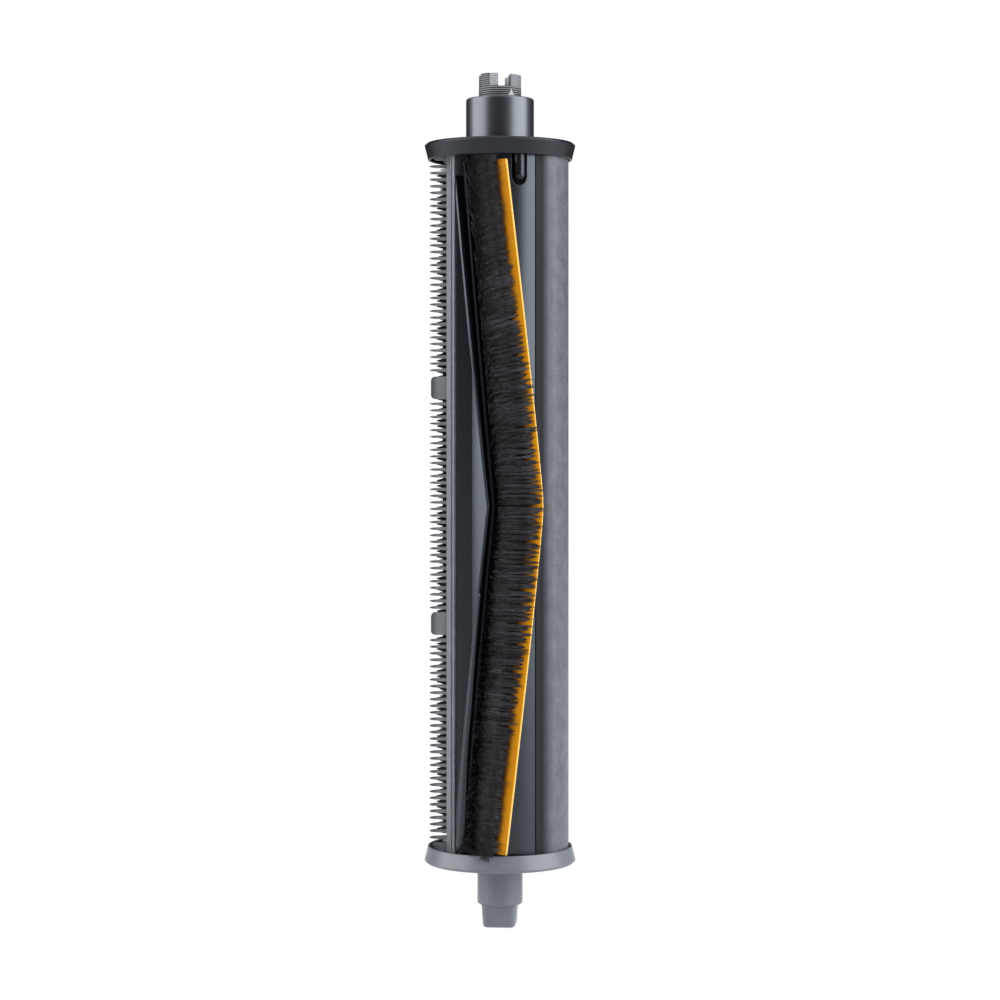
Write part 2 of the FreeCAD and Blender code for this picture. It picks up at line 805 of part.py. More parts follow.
for number in range(len(tabs) - 1):
    span_low = tabs[number][2]
    span = tabs[number + 1][1] - span_low
    clear = span - size("tooth_pitch")
    count = int(clear.value / size("tooth_pitch").value) + 1
    first = span_low + (span - size("tooth_pitch") * (count - 1)) / 2
    teeth = []
    for row in ROWS:
        teeth.append(guard_wedge("tooth_%d%s" % (number, "ab"[row > 0]), row, [
            (size("tooth_root"), first - size("tooth_root_width") / 2),
            (tooth_tip - size("tooth_point"), first - size("tooth_neck_width") / 2),
            (tooth_tip, first - size("tooth_tip_width") / 2),
            (tooth_tip, first + size("tooth_tip_width") / 2),
            (tooth_tip - size("tooth_point"), first + size("tooth_neck_width") / 2),
            (size("tooth_root"), first + size("tooth_root_width") / 2),
        ]))
    pattern(guard, teeth, size("tooth_pitch"), count)

# Cutter blade: a thin toothed steel strip that stands in the slot of the guard
blade = new_body("cutter_blade")
nodes.append(blade)
blade_top = shell_top + shell_bottom - size("blade_end")
blade_length = blade_top - size("blade_end")
blade_spine = sketch(blade, "blade_spine", "XZ_Plane")
outline(blade_spine, [
    (size("blade_inner"), size("blade_end")),
    (size("blade_root"), size("blade_end")),
    (size("blade_root"), blade_top),
    (size("blade_inner"), blade_top),
])
pad(blade, blade_spine, size("blade_thickness"), symmetric=True)
blade_count = int((blade_length - size("blade_root_width")).value / size("blade_pitch").value) + 1
blade_first = size("blade_end") + (blade_length - size("blade_pitch") * (blade_count - 1)) / 2
blade_tooth = sketch(blade, "blade_tooth", "XZ_Plane")
outline(blade_tooth, [
    (size("blade_root") - 0.5, blade_first - size("blade_root_width") / 2),
    (size("blade_root"), blade_first - size("blade_root_width") / 2),
    (blade_tip, blade_first - size("blade_tip_width") / 2),
    (blade_tip, blade_first + size("blade_tip_width") / 2),
    (size("blade_root"), blade_first + size("blade_root_width") / 2),
    (size("blade_root") - 0.5, blade_first + size("blade_root_width") / 2),
])
tooth_pad = pad(blade, blade_tooth, size("blade_thickness"), symmetric=True)
pattern(blade, [tooth_pad], size("blade_pitch"), blade_count)
RIVETS = 4
blade_hole = sketch(blade, "blade_hole", "XZ_Plane", -size("carrier_half"))
disc(blade_hole, size("rivet_radius"), size("rivet_line"), size("rivet_first"))
blade_hole_cut = pocket(blade, blade_hole, outward=True)
pattern(blade, [blade_hole_cut], size("rivet_pitch"), RIVETS)

# Carrier bar in the shell's chamber, with a kerf that holds the blade
carrier = new_body("blade_carrier")
nodes.append(carrier)
carrier_bar = sketch(carrier, "carrier_bar", "XY_Plane", size("blade_end"))
kerf_half = size("blade_thickness") / 2
outline(carrier_bar, [
    (size("carrier_inner"), -size("carrier_half")),
    (size("carrier_outer"), -size("carrier_half")),
    (size("carrier_outer"), -kerf_half),
    (size("blade_inner"), -kerf_half),
    (size("blade_inner"), kerf_half),
    (size("carrier_outer"), kerf_half),
    (size("carrier_outer"), size("carrier_half")),
    (size("carrier_inner"), size("carrier_half")),
])
pad(carrier, carrier_bar, blade_length)
carrier_hole = sketch(carrier, "carrier_hole", "XZ_Plane", -size("carrier_half") * 2)
disc(carrier_hole, size("rivet_radius"), size("rivet_line"), size("rivet_first"))
carrier_hole_cut = pocket(carrier, carrier_hole, outward=True)
pattern(carrier, [carrier_hole_cut], size("rivet_pitch"), RIVETS)

# Rivets through carrier and blade
rivets = doc.addObject("Part::Feature", "blade_rivets")
rivets.Label = "blade_rivets"
nodes.append(rivets)
rivet_solids = []
for number in range(RIVETS):
    level = sheet.get("rivet_first") + number * sheet.get("rivet_pitch")
    start = Vector(sheet.get("rivet_line"), -sheet.get("carrier_half"), level)
    length = 2 * sheet.get("carrier_half")
    rivet_solids.append(Part.makeCylinder(sheet.get("rivet_radius"), length, start, Vector(0, 1, 0)))
rivets.Shape = Part.makeCompound(rivet_solids)

# Follower pin: reaches from the carrier into the cam's groove
follower = new_body("follower_pin")
nodes.append(follower)
follower_round = sketch(follower, "follower_round", "YZ_Plane", size("carrier_inner") - size("follower_reach"))
disc(follower_round, size("follower_radius"), 0, follower_height)
pad(follower, follower_round, size("follower_reach"))
for item in (guard, blade, carrier, rivets, follower):
    item.Placement = Placement(Vector(0, 0, 0), Rotation(Vector(0, 0, 1), comb_turn.value))

# Cam shaft: pilot, grooved cam drum and shaft
shaft = new_body("cam_shaft")
nodes.append(shaft)
shaft_top = crown_floor - size("crown_cover")
revolve(shaft, "shaft_profile", [
    (0, pilot_bottom),
    (size("pilot_radius"), pilot_bottom),
    (size("pilot_radius"), cam_bottom),
    (size("cam_radius"), cam_bottom),
    (size("cam_radius"), cam_top),
    (size("shaft_radius"), cam_top),
    (size("shaft_radius"), shaft_top),
    (0, shaft_top),
])
groove_half = size("follower_radius") + size("cam_throw") + size("cutter_stroke") + size("running_gap") * 2
cam_tilt = math.degrees(math.atan(size("cam_throw").value / size("cam_radius").value))
cam_groove = shaft.newObject("Sketcher::SketchObject", "cam_groove")
cam_groove.AttachmentSupport = [(origin_item(shaft, "XZ_Plane"), "")]
cam_groove.MapMode = "FlatFace"
cam_groove.AttachmentOffset = Placement(
    Vector(0, follower_height.value, 0), Rotation(Vector(0, 0, 1), cam_tilt))
cam_groove.setExpression("AttachmentOffset.Base.y", follower_height.text)
groove_floor_radius = size("cam_radius") - size("cam_groove_depth") - size("cam_gap")
outline(cam_groove, [
    (groove_floor_radius, -groove_half),
    (size("cam_radius") * 1.4, -groove_half),
    (size("cam_radius") * 1.4, groove_half),
    (groove_floor_radius, groove_half),
])
cam_cut = shaft.newObject("PartDesign::Groove", "cam_cut")
cam_cut.Profile = cam_groove
cam_cut.ReferenceAxis = (cam_groove, ["V_Axis"])
cam_cut.Angle = 360.0

# End flange with its two tongues
flange = new_body("end_cap_flange")
nodes.append(flange)
flange_bore = size("collar_spigot_radius") + size("spigot_gap")
revolve(flange, "flange_profile", [
    (flange_bore, shell_top),
    (skirt_inner, shell_top),
    (skirt_inner, body_top),
    (flange_lip_radius, body_top),
    (flange_radius, size("cap_span") - size("rim_round")),
    (flange_radius - size("rim_round"), size("cap_span")),
    (flange_bore, size("cap_span")),
])
for name, side in (("tongue_front", 1), ("tongue_rear", -1)):
    bar = sketch(flange, name, "XY_Plane", shell_top - size("tongue_reach"))
    disc(bar, size("tongue_radius"), size("slot_centre") * side, -(tongue_line * side))
    bar_pad = pad(flange, bar, size("tongue_reach") + size("cap_floor") / 2)
    doc.recompute()
    bar_low = (shell_top - size("tongue_reach")).value
    bar_side = side
    low_edges = edges_where(bar_pad, lambda e: e.BoundBox.ZMax < bar_low + 0.01
                            and e.BoundBox.Center.x * bar_side > 0)
    fillet(flange, bar_pad, low_edges, size("tongue_round"))

# Bearing collar: stands on the flange, with a spigot through it and a seat for the bush
collar = new_body("bearing_collar")
nodes.append(collar)
bush_top = size("cap_span") + size("collar_length") - size("bush_shoulder")
washer_low = collar_top - size("washer_seat")
spigot_low = shell_top - size("collar_spigot_length")
collar_turned = revolve(collar, "collar_profile", [
    (size("bush_radius"), spigot_low),
    (size("collar_spigot_radius"), spigot_low),
    (size("collar_spigot_radius"), size("cap_span")),
    (size("collar_radius"), size("cap_span")),
    (size("collar_radius"), collar_top),
    (size("bush_radius"), collar_top),
    (size("bush_radius"), washer_low),
    (size("shoulder_radius"), washer_low),
    (size("shoulder_radius"), bush_top),
    (size("bush_radius"), bush_top),
])
doc.recompute()
collar_edge = edges_where(collar_turned, lambda e: abs(e.BoundBox.ZMin - collar_top.value) < 0.01
                          and abs(e.BoundBox.XMax - size("collar_radius").value) < 0.05)
fillet(collar, collar_turned, collar_edge, size("collar_round"))


def ring(label, inner, outer, low, high):
    body = new_body(label)
    nodes.append(body)
    revolve(body, label + "_profile", [(inner, low), (outer, low), (outer, high), (inner, high)])


bush_low = bush_top - size("bush_length")
ring("bearing_bush", size("shaft_radius") + size("running_gap"), size("bush_radius"), bush_low, bush_top)
ring("retaining_ring", size("bush_radius") - size("ring_width"), size("bush_radius"),
     bush_low - size("ring_thickness"), bush_low)
ring("thrust_washer", size("shaft_radius") + size("running_gap") * 4, size("bush_radius") - size("running_gap"),
     washer_low, washer_low + size("washer_thickness"))

# Crown: a round plug pressed on the shaft, with crossed slots that leave four lugs
crown = new_body("end_crown")
nodes.append(crown)
revolve(crown, "crown_profile", [
    (0, shaft_top),
    (size("shaft_radius"), shaft_top),
    (size("shaft_radius"), crown_bottom),
    (size("crown_radius"), crown_bottom),
    (size("crown_radius"), crown_top),
    (0, crown_top),
])
for name, turn, middle in (("crown_slot_a", size("crown_turn"), size("crown_slot_offset")),
                           ("crown_slot_b", size("crown_turn") + 90, as_dim(0))):
    cross = sketch(crown, name, "XY_Plane", crown_top, turn)
    left = middle - size("crown_slot") / 2
    right = middle + size("crown_slot") / 2
    reach = size("crown_radius") + 1
    outline(cross, [(left, -reach), (right, -reach), (right, reach), (left, reach)])
    pocket(crown, cross, size("crown_slot_depth"))
step = sketch(crown, "crown_step", "XY_Plane", crown_top, size("crown_turn"))
reach = size("crown_radius") + 1
outline(step, [(0, -reach), (reach, -reach), (reach, reach), (0, reach)])
pocket(crown, step, size("crown_step"))
for name, turn in (("crown_flat_front", 0.0), ("crown_flat_rear", 180.0)):
    flat = sketch(crown, name, "XY_Plane", crown_top, turn)
    flat_line = size("crown_radius") - size("crown_flat")
    reach = size("crown_radius") + 1
    outline(flat, [(-reach, -reach), (reach, -reach), (reach, -flat_line), (-reach, -flat_line)])
    pocket(crown, flat, size("crown_slot_depth"))

doc.recompute()

# The second holder, backing, bristles and wiper, half a turn round
for source, label in ((holder, "bristle_holder_rear"), (backing, "bristle_backing_rear"),
                      (bristles, "bristles_rear"), (wiper, "wiper_rear")):
    nodes.append(turned_copy(source, label, 180.0))
doc.recompute()

for item in doc.Objects:
    if "Invalid" in item.State or "Error" in item.State:
        raise RuntimeError("%s could not be built: %s" % (item.Label, item.State))
for item in nodes:
    if item.Shape.isNull() or not item.Shape.isValid():
        raise RuntimeError("%s has no valid shape" % item.Label)

os.makedirs("parts", exist_ok=True)
for item in nodes:
    item.Shape.exportStep("parts/%s.step" % item.Label)
    box = item.Shape.BoundBox
    print("%-24s solids %d volume %9.2f  z %8.2f %8.2f  x %7.2f %7.2f  y %7.2f %7.2f" % (
        item.Label, len(item.Shape.Solids), item.Shape.Volume, box.ZMin, box.ZMax,
        box.XMin, box.XMax, box.YMin, box.YMax))
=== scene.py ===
import math
import random

import bpy
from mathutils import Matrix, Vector


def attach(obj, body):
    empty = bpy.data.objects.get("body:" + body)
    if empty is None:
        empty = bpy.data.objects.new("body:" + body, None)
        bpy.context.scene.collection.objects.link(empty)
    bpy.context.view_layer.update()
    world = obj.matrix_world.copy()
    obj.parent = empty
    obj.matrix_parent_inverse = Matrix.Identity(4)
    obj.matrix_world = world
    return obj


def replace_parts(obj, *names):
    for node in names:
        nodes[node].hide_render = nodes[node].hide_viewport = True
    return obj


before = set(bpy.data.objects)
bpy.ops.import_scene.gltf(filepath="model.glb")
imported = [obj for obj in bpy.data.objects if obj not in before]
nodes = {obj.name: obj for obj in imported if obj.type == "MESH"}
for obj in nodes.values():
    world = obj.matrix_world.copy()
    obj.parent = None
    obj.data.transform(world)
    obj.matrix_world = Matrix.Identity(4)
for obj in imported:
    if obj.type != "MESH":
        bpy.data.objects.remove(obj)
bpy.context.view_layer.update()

scene = bpy.context.scene
MM = 0.001
MM_PER_M = 1000.0
HALF_TURN = 180.0

# Most values of a noise texture lie between these
NOISE_LOW = 0.3
NOISE_HIGH = 0.7

# Rays that the rounded edges and the painted shade in hollows take
SHADER_SAMPLES = 6


def at(radius, angle, height):
    """A point round the axis: millimetres out, degrees from the front towards +X, millimetres up."""
    turn = math.radians(angle)
    return Vector((radius * math.sin(turn), -radius * math.cos(turn), height)) * MM


def lerp(low, high, share):
    return low + (high - low) * share


def ease(value, low, high):
    """Rises gently from 0 to 1 while the value goes from low to high."""
    share = min(max((value - low) / (high - low), 0.0), 1.0)
    return share * share * (3.0 - 2.0 * share)


def mesh_object(name, points, faces, smooth=True):
    mesh = bpy.data.meshes.new(name)
    mesh.from_pydata(points, [], faces)
    mesh.update()
    if smooth:
        mesh.polygons.foreach_set("use_smooth", [True] * len(mesh.polygons))
    made = bpy.data.objects.new(name, mesh)
    scene.collection.objects.link(made)
    return made


def tube_faces(count, stations):
    """Faces of a closed section of count points carried through stations steps, with both ends shut."""
    faces = []
    for low in range(0, stations * count, count):
        for number in range(count):
            after = (number + 1) % count
            faces.append((low + number, low + after, low + count + after, low + count + number))
    faces.append(tuple(range(count))[::-1])
    faces.append(tuple(range(stations * count, (stations + 1) * count)))
    return faces


def point_values(made, name, values):
    made.data.attributes.new(name, "FLOAT", "POINT").data.foreach_set("value", values)


# Materials
class Finish:
    """A node material with short calls for the usual pieces of a procedural surface."""

    def __init__(self, name):
        self.material = bpy.data.materials.new(name)
        self.material.use_nodes = True
        self.tree = self.material.node_tree
        self.shader = self.tree.nodes["Principled BSDF"]
        self.place = self.node("ShaderNodeTexCoord").outputs["Object"]

    def node(self, kind, **settings):
        made = self.tree.nodes.new(kind)
        for key, value in settings.items():
            setattr(made, key, value)
        return made

    def link(self, source, target):
        self.tree.links.new(source, target)

    def set(self, **values):
        for key, value in values.items():
            self.shader.inputs[key.replace("_", " ")].default_value = value

    def noise(self, size_mm, detail=2.0, rough=0.5, stretch=None):
        """Noise whose grains are about size_mm across."""
        made = self.node("ShaderNodeTexNoise")
        made.inputs["Scale"].default_value = MM_PER_M / size_mm
        made.inputs["Detail"].default_value = detail
        made.inputs["Roughness"].default_value = rough
        place = self.place
        if stretch:
            scaled = self.node("ShaderNodeVectorMath", operation="MULTIPLY")
            scaled.inputs[1].default_value = stretch
            self.link(place, scaled.inputs[0])
            place = scaled.outputs[0]
        self.link(place, made.inputs["Vector"])
        return made.outputs["Fac"]

    def math(self, operation, first, second):
        made = self.node("ShaderNodeMath", operation=operation)
        for socket, value in zip(made.inputs, (first, second)):
            if isinstance(value, (int, float)):
                socket.default_value = value
            else:
                self.link(value, socket)
        return made.outputs[0]

    def ramp(self, value, stops):
        """A smooth run of colours over a value, each stop a place and a colour."""
        made = self.node("ShaderNodeValToRGB")
        elements = made.color_ramp.elements
        while len(elements) < len(stops):
            elements.new(0.5)
        for element, (place, shade) in zip(elements, stops):
            element.position = place
            element.color = shade
        self.link(value, made.inputs["Fac"])
        return made.outputs["Color"]

    def spread(self, value, low, high, start=0.0, stop=1.0):
        made = self.node("ShaderNodeMapRange")
        made.inputs["From Min"].default_value = start
        made.inputs["From Max"].default_value = stop
        made.inputs["To Min"].default_value = low
        made.inputs["To Max"].default_value = high
        self.link(value, made.inputs["Value"])
        return made.outputs["Result"]

    def reach(self):
        """Distance from the roller's axis, in millimetres."""
        split = self.node("ShaderNodeSeparateXYZ")
        self.link(self.place, split.inputs[0])
        square = self.math("ADD", self.math("MULTIPLY", split.outputs["X"], split.outputs["X"]),
                           self.math("MULTIPLY", split.outputs["Y"], split.outputs["Y"]))
        return self.math("MULTIPLY", self.math("POWER", square, 0.5), MM_PER_M)

    def paint_hollow_shade(self, reach_mm, shade):
        """Paints shade into the base colour where other surfaces stand close round it."""
        near = self.node("ShaderNodeAmbientOcclusion", samples=SHADER_SAMPLES)
        near.inputs["Distance"].default_value = reach_mm * MM
        self.tint(self.math("SUBTRACT", 1.0, near.outputs["AO"]), shade)

    def tint(self, share, shade):
        """Mixes a shade into the base colour by a share that may vary over the surface."""
        base = self.shader.inputs["Base Color"]
        mix = self.node("ShaderNodeMix", data_type="RGBA")
        self.link(share, mix.inputs["Factor"])
        self.link(base.links[0].from_socket, mix.inputs["A"])
        mix.inputs["B"].default_value = shade
        self.link(mix.outputs["Result"], base)

    def around(self):
        """Angle round the roller's axis from the front towards +X, the same again every half turn."""
        split = self.node("ShaderNodeSeparateXYZ")
        self.link(self.place, split.inputs[0])
        turn = self.math("ARCTAN2", split.outputs["X"], self.math("MULTIPLY", split.outputs["Y"], -1.0))
        return self.math("FLOORED_MODULO", self.math("MULTIPLY", turn, HALF_TURN / math.pi), HALF_TURN)

    def bump(self, height, depth_mm, edge_mm=0.0):
        """Relief in the surface, and edges that are rounded by edge_mm for the light."""
        made = self.node("ShaderNodeBump")
        made.inputs["Distance"].default_value = depth_mm * MM
        self.link(height, made.inputs["Height"])
        if edge_mm:
            bevel = self.node("ShaderNodeBevel", samples=SHADER_SAMPLES)
            bevel.inputs["Radius"].default_value = edge_mm * MM
            self.link(bevel.outputs["Normal"], made.inputs["Normal"])
        self.link(made.outputs["Normal"], self.shader.inputs["Normal"])


def linear(level):
    """A display level from 0 to 255 as a linear value, by the sRGB curve."""
    share = level / 255.0
    return share / 12.92 if share <= 0.04045 else ((share + 0.055) / 1.055) ** 2.4


def colour(red, green, blue):
    return (linear(red), linear(green), linear(blue), 1.0)


def moulded(name, dark, light, rough, grain_mm, grain_depth, mottle_mm=6.0, specular=0.4, edge_mm=0.15,
            uneven=0.08):
    """Moulded plastic: slow mottling, a fine grain in the surface and uneven gloss."""
    finish = Finish(name)
    mottle = finish.noise(mottle_mm, detail=3.0, rough=0.6)
    grain = finish.noise(grain_mm, detail=3.0, rough=0.65)
    mixed = finish.math("ADD", finish.math("MULTIPLY", mottle, 0.5), finish.math("MULTIPLY", grain, 0.5))
    tone = finish.ramp(mixed, [(NOISE_LOW, dark), (NOISE_HIGH, light)])
    finish.link(tone, finish.shader.inputs["Base Color"])
    gloss = finish.spread(grain, rough - uneven, rough + uneven, NOISE_LOW, NOISE_HIGH)
    finish.link(gloss, finish.shader.inputs["Roughness"])
    finish.set(Specular_IOR_Level=specular)
    finish.bump(grain, grain_depth, edge_mm)
    return finish


def dress(finish, *names):
    for name in names:
        slots = nodes[name].data.materials
        slots.clear()
        slots.append(finish.material)


# Shell: painted shade darkens the base colour in a band beside each holder, which is also duller
SHADE_BAND_STOP = 39.0
SHADE_BAND_CLEAR = 51.0
shell_finish = moulded("textured_shell", colour(62, 64, 70), colour(100, 103, 110), 0.44, 0.5, 0.05,
                       mottle_mm=3.0, specular=0.55)
shell_turn = shell_finish.around()
# Painted shade, darkest at the band's holder side
shell_finish.tint(shell_finish.spread(shell_turn, 1.0, 0.0, SHADE_BAND_STOP, SHADE_BAND_CLEAR), colour(36, 38, 44))
shell_gloss = shell_finish.spread(shell_turn, 0.2, 0.55, SHADE_BAND_STOP, SHADE_BAND_CLEAR)
shell_finish.link(shell_gloss, shell_finish.shader.inputs["Specular IOR Level"])

# Holder, backing, flange, collar and drive end
holder_finish = moulded("satin_holder", colour(18, 21, 27), colour(23, 26, 33), 0.3, 0.25, 0.001,
                        mottle_mm=14.0, specular=0.68, edge_mm=0.2, uneven=0.04)
holder_finish.set(Specular_Tint=(0.82, 0.91, 1.0, 1.0))
backing_finish = moulded("backing_rubber", colour(14, 15, 21), colour(21, 22, 30), 0.6, 0.35, 0.006,
                         specular=0.1)
flange_finish = moulded("satin_flange", colour(13, 15, 21), colour(20, 22, 28), 0.28, 0.35, 0.001,
                        specular=0.45, edge_mm=0.25, uneven=0.04)
flange_finish.set(Specular_Tint=(0.86, 0.9, 1.0, 1.0))
collar_finish = moulded("gloss_collar", colour(16, 17, 25), colour(21, 22, 31), 0.36, 1.2, 0.0002,
                        mottle_mm=12.0, specular=1.0, edge_mm=0.25, uneven=0.015)
collar_finish.set(Coat_Weight=0.5, Coat_Roughness=0.3, Specular_Tint=(0.86, 0.93, 1.0, 1.0))
drive_finish = moulded("matte_drive_end", colour(94, 97, 104), colour(110, 113, 120), 0.36, 0.35, 0.003,
                       specular=0.5, edge_mm=0.25)

# Comb: painted shade between the teeth, and darker towards their points
POINT_START = 14.2
POINT_STOP = 15.8
comb_finish = moulded("comb_plastic", colour(130, 133, 137), colour(150, 153, 157), 0.42, 0.4, 0.005)
# Painted shade in the hollows between the teeth
comb_finish.paint_hollow_shade(1.2, colour(34, 35, 38))
comb_point = comb_finish.spread(comb_finish.reach(), 0.0, 0.85, POINT_START, POINT_STOP)
comb_finish.tint(comb_point, colour(38, 40, 44))
carrier_finish = moulded("carrier_plastic", colour(44, 46, 49), colour(58, 60, 63), 0.5, 0.4, 0.008)

# Crown: its round faces carry fine ribs, and its flats, its slots and two of its lugs are plain
RIB_PITCH = 0.46
RIB_REACH = 4.72
RIB_DEPTH = 0.08
RIB_SHADE = 1.3
LUG_LOW = 176.5
LUG_MIDDLE = 56.0
LUG_HALF = 34.0
LUG_SHADE = 0.75
crown_finish = moulded("crown_plastic", colour(146, 147, 152), colour(166, 167, 172), 0.5, 0.4, 0.003)
# Painted shade in the crown's slots and hollows
crown_finish.paint_hollow_shade(2.0, colour(40, 40, 43))
rib_height = crown_finish.node("ShaderNodeSeparateXYZ")
crown_finish.link(crown_finish.place, rib_height.inputs[0])
rib_phase = crown_finish.math("MULTIPLY", rib_height.outputs["Z"], 2.0 * math.pi / (RIB_PITCH * MM))
rib_wave = crown_finish.spread(crown_finish.math("SINE", rib_phase, 0.0), 0.0, 1.0, -1.0, 1.0)
round_face = crown_finish.math("GREATER_THAN", crown_finish.reach(), RIB_REACH)
lug_height = crown_finish.math("GREATER_THAN", rib_height.outputs["Z"], LUG_LOW * MM)
lug_turn = crown_finish.math("SUBTRACT", crown_finish.around(), LUG_MIDDLE)
lug_off = crown_finish.math("ABSOLUTE", lug_turn, 0.0)
plain_lug = crown_finish.math("MULTIPLY", lug_height, crown_finish.math("LESS_THAN", lug_off, LUG_HALF))
ribbed = crown_finish.math("MULTIPLY", round_face, crown_finish.math("SUBTRACT", 1.0, plain_lug))
# Painted shade in the rib grooves, which also darkens the ribbed faces as a whole
rib_groove_shade = crown_finish.math("MULTIPLY", ribbed, crown_finish.math("SUBTRACT", RIB_SHADE, rib_wave))
crown_finish.tint(rib_groove_shade, colour(8, 8, 10))
crown_finish.tint(crown_finish.math("MULTIPLY", plain_lug, LUG_SHADE), colour(84, 86, 88))
crown_finish.bump(crown_finish.math("SUBTRACT", 1.0, rib_groove_shade), RIB_DEPTH)

# Bare metals, whose scratches make them smoother or rougher by these
METAL_SMOOTHER = 0.08
METAL_ROUGHER = 0.12


def metal(name, dark, light, rough, scratch_mm, stretch):
    """Bare metal with fine scratches, drawn out or packed by stretch."""
    finish = Finish(name)
    scratch = finish.noise(scratch_mm, detail=4.0, rough=0.6, stretch=stretch)
    tone = finish.ramp(scratch, [(NOISE_LOW, dark), (NOISE_HIGH, light)])
    finish.link(tone, finish.shader.inputs["Base Color"])
    gloss = finish.spread(scratch, rough - METAL_SMOOTHER, rough + METAL_ROUGHER, NOISE_LOW, NOISE_HIGH)
    finish.link(gloss, finish.shader.inputs["Roughness"])
    finish.set(Metallic=1.0)
    finish.bump(scratch, 0.004)
    return finish


blade_finish = metal("ground_steel", colour(30, 31, 34), colour(62, 63, 67), 0.26, 0.3,
                     (1.0, 1.0, 0.15))
pin_finish = metal("turned_steel", colour(150, 152, 156), colour(188, 190, 193), 0.28, 0.25,
                   (1.0, 1.0, 3.0))
bush_finish = metal("sintered_bronze", colour(150, 108, 62), colour(190, 142, 88), 0.4, 0.3,
                    (1.0, 1.0, 1.0))

dress(shell_finish, "roller_shell")
dress(holder_finish, "bristle_holder_front", "bristle_holder_rear")
dress(backing_finish, "bristle_backing_front", "bristle_backing_rear")
dress(comb_finish, "comb_guard")
dress(blade_finish, "cutter_blade")
dress(carrier_finish, "blade_carrier", "thrust_washer", "cam_shaft")
dress(pin_finish, "blade_rivets", "follower_pin", "retaining_ring")
dress(flange_finish, "end_cap_flange")
dress(collar_finish, "bearing_collar")
dress(bush_finish, "bearing_bush")
dress(crown_finish, "end_crown")
dress(drive_finish, "drive_end_cap")

# The V that backing, bristles and wiper follow
STRIP_LOW = 4.2
STRIP_HIGH = 158.6
APEX = (STRIP_LOW + STRIP_HIGH) / 2
HALF = (STRIP_HIGH - STRIP_LOW) / 2
SWEEP = 30.0
APEX_ROUND = 0.035


def strip_share(height):
    return (height - APEX) / HALF


def strip_turn(height):
    """How far the strip has turned at a height, with the apex a little rounded."""
    share = strip_share(height)
    return -SWEEP * (math.sqrt(share * share + APEX_ROUND * APEX_ROUND) - APEX_ROUND)


# Wipers: a thin rubber blade, bent over to trail, with a rounded free edge that has a painted highlight
WIPER_LINE = [(10.95, 21.5), (12.4, 22.8), (13.5, 23.9), (14.6, 25.5), (15.5, 27.5), (16.2, 29.4),
              (16.75, 31.4), (17.25, 33.4)]
WIPER_HALF = 0.43
WIPER_TIP_HALF = 0.24
WIPER_TIP_TURNS = (-50.0, 0.0, 50.0)
WIPER_STATIONS = 96
WIPER_SHADED_REACH = 15.2
WIPER_UNSHADED_REACH = 17.3

wiper_finish = Finish("wiper_rubber")
painted_edge_highlight = wiper_finish.node("ShaderNodeAttribute", attribute_name="edge").outputs["Fac"]
wiper_flow = wiper_finish.noise(5.0, 3.0, 0.6, (1.0, 1.0, 0.35))
wiper_grain = wiper_finish.noise(0.3, 3.0, 0.6)
# Painted shade: the blade is darker near its root, where the bristles shade it, and lighter towards its
# free edge
wiper_shade_lift = wiper_finish.spread(wiper_finish.reach(), 0.0, 0.8, WIPER_SHADED_REACH, WIPER_UNSHADED_REACH)
# Slow flow noise adds the rubber's own uneven tone to the painted shade
wiper_shade_and_tone = wiper_finish.math("ADD", wiper_shade_lift, wiper_finish.math("MULTIPLY", wiper_flow, 0.3))
wiper_body = wiper_finish.ramp(wiper_shade_and_tone, [(0.1, colour(126, 70, 2)), (0.95, colour(186, 122, 10))])
wiper_finish.link(wiper_body, wiper_finish.shader.inputs["Base Color"])
# Painted highlight along the blade's free edge
wiper_finish.tint(painted_edge_highlight, colour(228, 184, 104))
wiper_gloss = wiper_finish.spread(wiper_grain, 0.36, 0.5, NOISE_LOW, NOISE_HIGH)
wiper_finish.link(wiper_gloss, wiper_finish.shader.inputs["Roughness"])
wiper_finish.set(Specular_IOR_Level=0.05)
wiper_finish.bump(wiper_grain, 0.008)


def wiper_section():
    """Points round the blade's section: millimetres round and out from the axis, and a share of the
    painted edge highlight.
    """
    flat = [(radius * math.radians(angle), radius) for radius, angle in WIPER_LINE]
    left = []
    right = []
    for number, (across, radius) in enumerate(flat):
        before = flat[max(number - 1, 0)]
        after = flat[min(number + 1, len(flat) - 1)]
        run = (after[0] - before[0], after[1] - before[1])
        length = math.hypot(*run)
        side = (run[1] / length, -run[0] / length)
        half = lerp(WIPER_HALF, WIPER_TIP_HALF, (number / (len(flat) - 1)) ** 2)
        left.append((across - side[0] * half, radius - side[1] * half, 0.0))
        right.append((across + side[0] * half, radius + side[1] * half, 0.0))
    end = flat[-1]
    back = flat[-2]
    run = (end[0] - back[0], end[1] - back[1])
    length = math.hypot(*run)
    ahead = (run[0] / length, run[1] / length)
    side = (ahead[1], -ahead[0])
    tip = []
    for angle in WIPER_TIP_TURNS:
        turn = math.radians(angle)
        out = WIPER_TIP_HALF * math.cos(turn)
        off = WIPER_TIP_HALF * math.sin(turn)
        tip.append((end[0] + ahead[0] * out + side[0] * off, end[1] + ahead[1] * out + side[1] * off, 1.0))
    return left + tip + right[::-1]


def wiper(name, half_turn):
    section = wiper_section()
    points = []
    highlight_shares = []
    for station in range(WIPER_STATIONS + 1):
        height = lerp(STRIP_LOW, STRIP_HIGH, station / WIPER_STATIONS)
        turn = strip_turn(height) + half_turn
        for across, radius, edge in section:
            points.append(at(radius, math.degrees(across / radius) + turn, height))
            highlight_shares.append(edge)
    made = mesh_object(name, points, tube_faces(len(section), WIPER_STATIONS))
    made.data.polygons[-1].use_smooth = False
    made.data.polygons[-2].use_smooth = False
    point_values(made, "edge", highlight_shares)
    made.data.materials.append(wiper_finish.material)
    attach(made, "roller")
    return made


